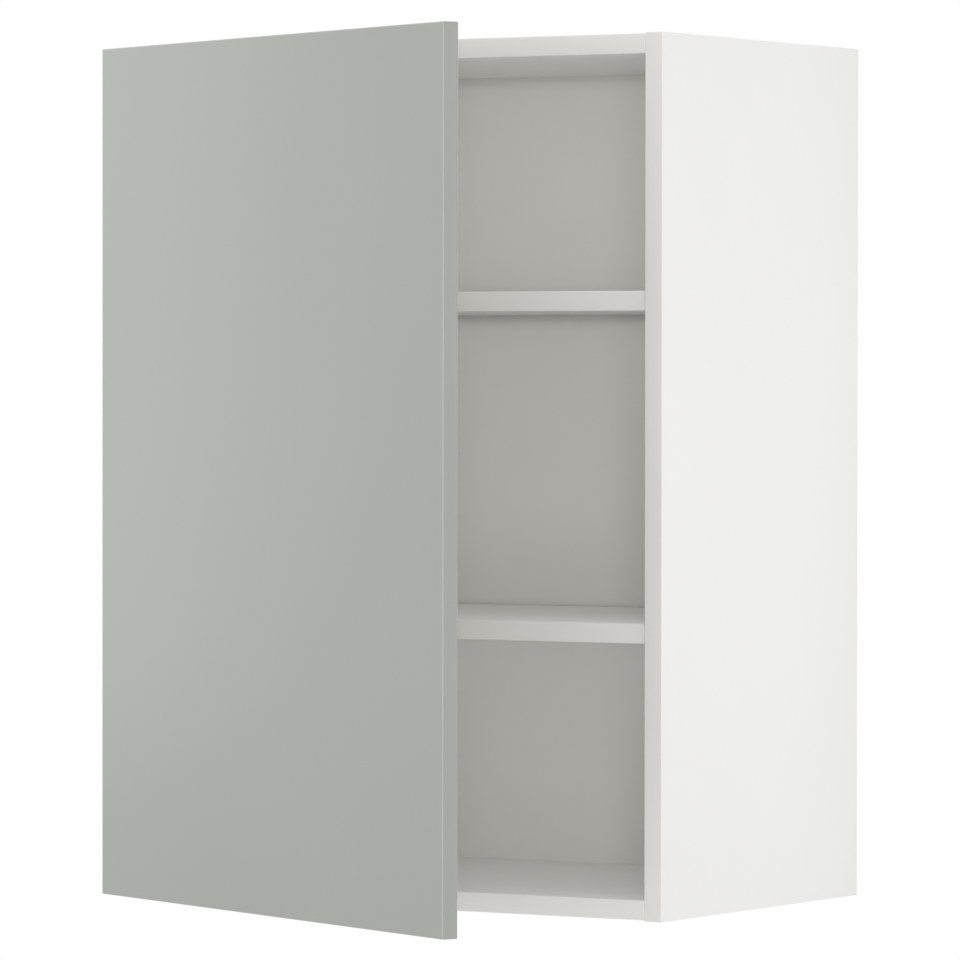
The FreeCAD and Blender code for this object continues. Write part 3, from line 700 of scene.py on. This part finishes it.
peg = turned([(0, -pin_peg_root), (pin_peg_radius, -pin_peg_root),
              (pin_peg_radius, pin_peg_length - pin_peg_bevel),
              (pin_peg_radius - pin_peg_bevel, pin_peg_length), (0, pin_peg_length)], pin_peg_sides)
for name, peg_height in shelf_rows.items():
    pins = bmesh.new()
    for side in sides.values():
        for y in row_depths:
            add_copy(pins, peg, facing((side * inner_half, y, peg_height), (side, 0, 0)))
            seat = bmesh.new()
            add_block(seat, (side * inner_half, y - pin_seat_half, peg_height - pin_seat_below),
                      (side * (inner_half - pin_seat_length), y + pin_seat_half, peg_height + pin_seat_above))
            lower_edges = [edge for edge in seat.edges
                           if all(vert.co.z < peg_height and abs(vert.co.x) < inner_half - fit
                                  for vert in edge.verts)]
            ease(seat, lower_edges, pin_seat_round, segments=5)
            corners = [edge for edge in seat.edges if edge.calc_face_angle(0) > pin_seat_sharp]
            ease(seat, corners, pin_seat_ease, segments=2)
            add_copy(pins, seat, Matrix.Identity(4))
            seat.free()
    settle(pins, f"{name}_nickel_pins", f"{name}_shelf_pins", "shelf_pin_steel", nickel)
peg.free()

# Shelves: two loose boards of the same faced particleboard that lie on the pins, a millimetre short of
# each side, with a strip of edging along the front.
for name in shelf_rows:
    low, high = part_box(f"{name}_shelf")
    board = new_block(low, high, board_ease)
    bare_core(board, low, high)
    settle(board, f"{name}_shelf_board", f"{name}_shelf", "white_board", melamine, sawn_flat)
    glue_band(f"{name}_shelf_band")

# Hinge plates: nickel-plated steel pressed into a cross with a raised middle for the arm. Two screws
# through the wings of each hold it to the left side panel, in the front row of holes.
stamped_edge = 0.25 * mm
stamped_flat = math.radians(0.5)
stamped_sharp = math.radians(38)
plate_screw_head_radius = 4.5 * mm
plate_screw_head_height = 2 * mm
plate_screw_length = 14 * mm
plate_screw_radius = 2.45 * mm
plate_thickness = 2 * mm


def softened(node, radius, is_bend=None, bend_radius=0):
    """Copy of a CAD node's mesh made whole, with its bends and then its other sharp edges rounded."""
    stamped = frame["nodes"][node].data.copy()
    stamped.attributes.remove(stamped.attributes["custom_normal"])
    bm = bmesh.new()
    bm.from_mesh(stamped)
    bpy.data.meshes.remove(stamped)
    bmesh.ops.remove_doubles(bm, verts=bm.verts, dist=weld)
    bmesh.ops.dissolve_limit(bm, angle_limit=stamped_flat, verts=bm.verts, edges=bm.edges)
    if is_bend:
        low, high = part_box(node)
        bends = [edge for edge in bm.edges if is_bend(edge, low, high)]
        ease(bm, bends, bend_radius, segments=4, even=True)
    rims = [edge for edge in bm.edges if edge.is_manifold and edge.calc_face_angle(0) > stamped_sharp]
    ease(bm, rims, radius, segments=2, even=True)
    clear_slivers(bm)
    flaps = [face for face in bm.faces if any(edge.is_boundary for edge in face.edges)]
    bmesh.ops.delete(bm, geom=flaps, context="FACES")
    for face in bm.faces:
        face.smooth = True
    return bm


def settle_stamped(bm, name, node, slot, finish):
    """Settles a stamped piece and keeps its flat faces flat."""
    piece = settle(bm, name, node, slot, finish)
    piece.modifiers.new("flat_faces", "WEIGHTED_NORMAL").keep_sharp = True


screw = new_screw(plate_screw_head_radius, plate_screw_head_height, plate_screw_radius, plate_screw_length)
for name, height in hinge_heights.items():
    plate = softened(f"{name}_hinge_plate", stamped_edge)
    settle_stamped(plate, f"{name}_pressed_plate", f"{name}_hinge_plate", "hinge_nickel", nickel)
    places = [facing((plate_thickness - inner_half, row_depths[0], z), (1, 0, 0))
              for z in either_side(height, plate_screw_half_spacing)]
    settle_copies(screw, places, f"{name}_domed_plate_screws", f"{name}_plate_screws", "screw_steel",
                  bright_zinc)
screw.free()

# Hinge arms: nickel-plated steel channels bent from sheet that slide over the plates. Two screws set
# each arm, a leaf spring lies under its web, and riveted pins at its nose carry the links.
arm_bend = 1.1 * mm
arm_screw_depths = (-339 * mm, -323 * mm)
arm_screw_head_radius = 3.25 * mm
arm_screw_head_height = 1.8 * mm
arm_screw_radius = 2 * mm
arm_screw_length = 8 * mm
pin_edge = 0.12 * mm

spring_tones = [(0.3, (0.36, 0.36, 0.38)), (0.7, (0.48, 0.48, 0.50))]
spring_steel = new_finish("bare_spring_steel", plate_texture, fineness=1800, tones=spring_tones,
                          roughness=(0.28, 0.42), relief=0.01 * mm, scale=(1, 0.1, 1), metallic=1)


def is_arm_bend(edge, low, high):
    """True for the two long corners between the web and the cheeks of a channel in this box."""
    outside = [vert.co.x > high.x - fit and min(vert.co.z - low.z, high.z - vert.co.z) < fit
               for vert in edge.verts]
    return all(outside) and abs(edge.verts[0].co.z - edge.verts[1].co.z) < fit


screw = new_screw(arm_screw_head_radius, arm_screw_head_height, arm_screw_radius, arm_screw_length)
for name, height in hinge_heights.items():
    arm = softened(f"{name}_hinge_arm", stamped_edge, is_arm_bend, arm_bend)
    settle_stamped(arm, f"{name}_bent_arm", f"{name}_hinge_arm", "hinge_nickel", nickel)
    web_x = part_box(f"{name}_hinge_arm")[1].x
    places = [facing((web_x, y, height), (1, 0, 0)) for y in arm_screw_depths]
    settle_copies(screw, places, f"{name}_domed_arm_screws", f"{name}_arm_screws", "screw_steel",
                  bright_zinc)
    spring = softened(f"{name}_leaf_spring", pin_edge)
    settle_stamped(spring, f"{name}_sprung_leaf", f"{name}_leaf_spring", "spring_steel", spring_steel)
    pins = softened(f"{name}_arm_pins", pin_edge)
    settle_stamped(pins, f"{name}_riveted_arm_pins", f"{name}_arm_pins", "screw_steel", bright_zinc)
screw.free()

# Hinge links: cranked bars of plated steel between arm and cup. The inner one is a single thick bar and
# the outer one a pair of plates on either side of it, and both turn on the pins.
link_tones = [(0.3, (0.54, 0.53, 0.51)), (0.7, (0.66, 0.65, 0.63))]
link_plate = new_finish("nickel_link", plate_texture, fineness=2000, tones=link_tones,
                        roughness=(0.22, 0.38), relief=0.008 * mm, metallic=1)

for name in hinge_heights:
    for link in ("inner", "outer"):
        bar = softened(f"{name}_{link}_link", stamped_edge)
        settle_stamped(bar, f"{name}_{link}_bar", f"{name}_{link}_link", "link_steel", link_plate)

# Door: one flat board of fibreboard sprayed with a satin sage lacquer. Its edge faces carry a slightly
# deeper, less green tone that also paints in the shade on them, and the rounding along the front is painted
# paler and glossier, a painted highlight. The back is bored for two hinge cups and their screws.
door_edge_radius = 1.2 * mm
edge_face_lean = 0.5
painted_highlight_lean = 0.95
door_angle = math.radians(25.5)
door_closed_low = Vector((-298.5 * mm, -388.5 * mm, 0.5 * mm))
door_closed_high = Vector((298.5 * mm, -372.5 * mm, 797.5 * mm))
hinge_pin_closed = Vector((-288.49 * mm, -375.25 * mm, 0))
hinge_pin_open = Vector((-286.1606 * mm, -377.9434 * mm, 0))
cup_radius = 17.5 * mm
cup_bore_depth = 11.8 * mm
cup_centre_x = -276 * mm
cup_screw_x = -270 * mm
cup_screw_half_spacing = 24 * mm
cup_screw_radius = 1.75 * mm
cup_screw_hole_depth = 13 * mm
swing_open = (Matrix.Translation(hinge_pin_open) @ Matrix.Rotation(-door_angle, 4, "Z")
              @ Matrix.Translation(-hinge_pin_closed))

# sprayed lacquer: a low orange peel with a fine flatting grain on it
flatting_share = 0.25
lacquer_texture, given, gives = new_texture("lacquer_texture", "Peel")
peel = add_noise(lacquer_texture, given["Vector"], scale=given["Peel"], detail=1)
flatting = add_noise(lacquer_texture, given["Vector"], scale=3200, detail=1)
flatted = add_math(lacquer_texture, "MULTIPLY_ADD", flatting, flatting_share, peel)
clouds = add_noise(lacquer_texture, given["Vector"], scale=3.5, detail=3)
lacquer_texture.links.new(flatted, gives["Height"])
lacquer_texture.links.new(clouds, gives["Tone"])

lacquer_relief = 0.012 * mm
sage_tones = [(0.3, (0.432, 0.452, 0.418)), (0.7, (0.444, 0.464, 0.430))]
sage_lacquer = new_finish("sage_lacquer", lacquer_texture, fineness=260, tones=sage_tones,
                          roughness=(0.33, 0.39), relief=lacquer_relief)
# edge faces: a deeper, less green tone whose darkness is also painted shade on the door's edges
edging_and_shade_tones = [(0.3, (0.388, 0.398, 0.373)), (0.7, (0.399, 0.409, 0.384))]
sage_edging_and_shade = new_finish("sage_edging_and_shade", lacquer_texture, fineness=420, tones=edging_and_shade_tones,
                         roughness=(0.30, 0.36), relief=lacquer_relief)
# painted highlight: the front rounding is paler and glossier than the lacquer, standing in for the light it
# catches
painted_highlight_tones = [(0.3, (0.510, 0.530, 0.497)), (0.7, (0.525, 0.545, 0.512))]
sage_painted_highlight = new_finish("sage_painted_highlight", lacquer_texture, fineness=420, tones=painted_highlight_tones,
                         roughness=(0.24, 0.30), relief=lacquer_relief)

leaf = new_block(door_closed_low, door_closed_high, door_edge_radius, segments=6)
tool = bmesh.new()
for height in hinge_heights.values():
    add_drill(tool, (cup_centre_x, door_closed_high.y, height), (0, -1, 0), cup_bore_depth, cup_radius)
    for z in either_side(height, cup_screw_half_spacing):
        add_drill(tool, (cup_screw_x, door_closed_high.y, z), (0, -1, 0), cup_screw_hole_depth,
                  cup_screw_radius + fit)
cut_away(leaf, tool)
for face in leaf.faces:
    middle = face.calc_center_median()
    from_rim = min(middle.x - door_closed_low.x, door_closed_high.x - middle.x,
                   middle.z - door_closed_low.z, door_closed_high.z - middle.z)
    # faces of the front rounding take the painted highlight; the side faces take the deeper tone that also
    # paints their shade
    if from_rim < door_edge_radius and -painted_highlight_lean < face.normal.y < -edge_face_lean / 2:
        face.material_index = 2
    elif from_rim < door_edge_radius and abs(face.normal.y) < edge_face_lean:
        face.material_index = 1
bmesh.ops.transform(leaf, matrix=swing_open, verts=leaf.verts)
settle(leaf, "door_leaf", "door_panel", "door_lacquer", sage_lacquer, sage_edging_and_shade, sage_painted_highlight)

# Hinge cups: nickel-plated cups pressed into the bores of the door, each with a flange held by two
# screws. The links fold into the trough in the cup and turn on the pins in its cheeks: one right
# through for the inner link and a stub on each side for the outer link.
cup_edge = 0.15 * mm
cup_flange_thickness = 1.2 * mm
cup_screw_head_radius = 3.5 * mm
cup_screw_head_height = 1.8 * mm
cup_screw_length = 13.2 * mm

screw = new_screw(cup_screw_head_radius, cup_screw_head_height, cup_screw_radius, cup_screw_length)
for name, height in hinge_heights.items():
    cup = softened(f"{name}_hinge_cup", cup_edge)
    settle_stamped(cup, f"{name}_pressed_cup", f"{name}_hinge_cup", "hinge_nickel", nickel)
    pins = softened(f"{name}_cup_pins", pin_edge)
    settle_stamped(pins, f"{name}_steel_cup_pins", f"{name}_cup_pins", "screw_steel", bright_zinc)
    flange_y = door_closed_high.y + cup_flange_thickness
    places = [swing_open @ facing((cup_screw_x, flange_y, z), (0, 1, 0))
              for z in either_side(height, cup_screw_half_spacing)]
    settle_copies(screw, places, f"{name}_domed_cup_screws", f"{name}_cup_screws", "screw_steel",
                  bright_zinc)
screw.free()

# Door bumpers: two small domes of clear soft plastic stuck on the back of the door near its free edge,
# which meet the front of the right side panel and quieten the door.
bumper_radius = 4 * mm
bumper_height = 1.8 * mm
bumper_shares = [(0, 0), (1, 0), (0.99, 0.25), (0.93, 0.55), (0.8, 0.8), (0.6, 0.95), (0.3, 1), (0, 1)]
bumper_x = 291 * mm
bumper_heights = (30.5 * mm, 767.5 * mm)

pad_tones = [(0.3, (0.90, 0.90, 0.88)), (0.7, (0.95, 0.95, 0.94))]
clear_pad = new_finish("clear_soft_plastic", film_texture, fineness=900, tones=pad_tones,
                       roughness=(0.12, 0.2), relief=0.01 * mm)
pad_shader = clear_pad.node_tree.nodes["Principled BSDF"]
pad_shader.inputs["Transmission Weight"].default_value = 0.85
pad_shader.inputs["IOR"].default_value = 1.45

bumper = turned(profile_of(bumper_shares, bumper_radius, bumper_height))
places = [swing_open @ facing((bumper_x, door_closed_high.y, z), (0, 1, 0)) for z in bumper_heights]
settle_copies(bumper, places, "domed_bumpers", "door_bumpers", "clear_bumper", clear_pad)
bumper.free()

# Camera: a long lens in front of the cabinet and to its right, a little above its middle, so that its
# upright edges stay almost parallel.
lens_length = 245.97
camera_point = (3.2451, -5.4706, 0.4923)
turn_right = math.radians(31.591)
look_down = math.radians(0.9309)
roll = math.radians(0.0571)
camera_data = bpy.data.cameras.new("camera")
camera_data.lens = lens_length
camera = bpy.data.objects.new("camera", camera_data)
bpy.context.scene.collection.objects.link(camera)
aim = Matrix.Rotation(turn_right, 4, "Z") @ Matrix.Rotation(math.pi / 2 - look_down, 4, "X")
camera.matrix_world = Matrix.Translation(camera_point) @ aim @ Matrix.Rotation(roll, 4, "Z")
bpy.context.scene.camera = camera

# Light: an even room that is seen as plain white, with broad soft lamps in front, on the right, on the
# left and above.
bpy.context.scene.view_settings.view_transform = "Standard"
room_level = 0.69
world = bpy.data.worlds.new("white_room")
bpy.context.scene.world = world
world.use_nodes = True
room = world.node_tree
seen = add_node(room, "ShaderNodeLightPath", {}).outputs
direct_view = add_math(room, "MAXIMUM", seen["Is Camera Ray"], seen["Is Glossy Ray"])
any_view = add_math(room, "MAXIMUM", direct_view, seen["Is Transmission Ray"])
level = add_node(room, "ShaderNodeMapRange", {"Value": any_view, "To Min": room_level, "To Max": 1})
room.nodes["Background"].inputs["Color"].default_value = (1, 1, 1, 1)
room.links.new(level.outputs[0], room.nodes["Background"].inputs["Strength"])


def hang_lamp(name, point, target, width, height, watts, colour=(1, 1, 1), spread=180):
    """Adds a soft rectangular lamp that points at a target and isn't seen itself."""
    lamp = bpy.data.lights.new(name, "AREA")
    lamp.shape = "RECTANGLE"
    lamp.size, lamp.size_y = width, height
    lamp.energy = watts
    lamp.color = colour
    lamp.spread = math.radians(spread)
    holder = bpy.data.objects.new(name, lamp)
    bpy.context.scene.collection.objects.link(holder)
    holder.location = point
    holder.rotation_euler = (Vector(target) - Vector(point)).to_track_quat("-Z", "Y").to_euler()
    holder.visible_camera = False


warm_white = (1, 0.98, 0.94)
hang_lamp("front_lamp", point=(3.35, -5.3, 0.9), target=(0.05, -0.3, 0.4), width=0.7, height=4.2, watts=58,
          colour=warm_white)
hang_lamp("right_lamp", point=(1.35, 0.2, 0.25), target=(0.3, -0.1, 0.3), width=0.4, height=2.4, watts=4.5)
hang_lamp("left_lamp", point=(-1.7, -0.35, 0.7), target=(0, -0.45, 0.45), width=0.7, height=1.4, watts=2.2)
hang_lamp("top_lamp", point=(0, -1.5, 4.5), target=(0, -0.3, 0.4), width=4, height=3, watts=26)

# Weak lamps in each compartment lift the shade behind the door. One faces the back from behind the
# shelf fronts, and a flat pair faces down from its ceiling and up from its floor.
fill_width = 540 * mm
fill_depth = 340 * mm
fill_front_y = -340 * mm
fill_middle_y = -185 * mm
fill_gap = 25 * mm
flat_gap = 4 * mm
fill_drop = 70 * mm
inward_watts = (0.010, 0.020, 0.012)
downward_watts = (0.13, 0.15, 0.11)
upward_watts = (0.004, 0.004, 0.055)
inward_spread = 110
floors = [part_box(node)[1].z for node in ("bottom_panel", "lower_shelf", "upper_shelf")]
ceilings = [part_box(node)[0].z for node in ("lower_shelf", "upper_shelf", "top_panel")]
for i, (floor_z, ceiling_z) in enumerate(zip(floors, ceilings)):
    middle_z = (floor_z + ceiling_z) / 2
    hang_lamp("inward_fill", (0, fill_front_y, middle_z), (0, 0, middle_z - fill_drop), fill_width,
              ceiling_z - floor_z - 2 * fill_gap, inward_watts[i], warm_white, inward_spread)
    low, high = (0, fill_middle_y, floor_z + flat_gap), (0, fill_middle_y, ceiling_z - flat_gap)
    hang_lamp("downward_fill", high, low, fill_width, fill_depth, downward_watts[i], warm_white)
    hang_lamp("upward_fill", low, high, fill_width, fill_depth, upward_watts[i], warm_white)

# Floor: a plain pale disc well below the cabinet, which hangs on a wall. It is seen from above only,
# and a share of its own pale glow there keeps it close to the white of the room.
floor_drop = 1.4
floor_radius = 9
floor_sides = 96
floor_tone = (0.86, 0.86, 0.86, 1)
floor_roughness = 0.9
floor_glow = (0.94, 0.94, 0.94, 1)
glow_share = 0.6
floor_bm = bmesh.new()
bmesh.ops.create_circle(floor_bm, cap_ends=True, segments=floor_sides, radius=floor_radius,
                        matrix=Matrix.Translation((0, 0, -floor_drop)))
floor_mesh = bpy.data.meshes.new("floor")
floor_bm.to_mesh(floor_mesh)
floor_bm.free()
floor_paint = bpy.data.materials.new("pale_floor")
floor_paint.use_nodes = True
tree = floor_paint.node_tree
shader = tree.nodes["Principled BSDF"]
shader.inputs["Base Color"].default_value = floor_tone
shader.inputs["Roughness"].default_value = floor_roughness
watched = add_node(tree, "ShaderNodeLightPath", {}).outputs["Is Camera Ray"]
share = add_math(tree, "MULTIPLY", watched, glow_share)
pale = add_node(tree, "ShaderNodeEmission", {"Color": floor_glow, "Strength": 1})
lifted = add_node(tree, "ShaderNodeMixShader", {0: share, 1: shader.outputs[0], 2: pale.outputs[0]})
underside = add_node(tree, "ShaderNodeNewGeometry", {}).outputs["Backfacing"]
clear = add_node(tree, "ShaderNodeBsdfTransparent", {})
one_sided = add_node(tree, "ShaderNodeMixShader", {0: underside, 1: lifted.outputs[0], 2: clear.outputs[0]})
tree.links.new(one_sided.outputs[0], tree.nodes["Material Output"].inputs["Surface"])
floor_mesh.materials.append(floor_paint)
floor = bpy.data.objects.new("floor", floor_mesh)
bpy.context.scene.collection.objects.link(floor)
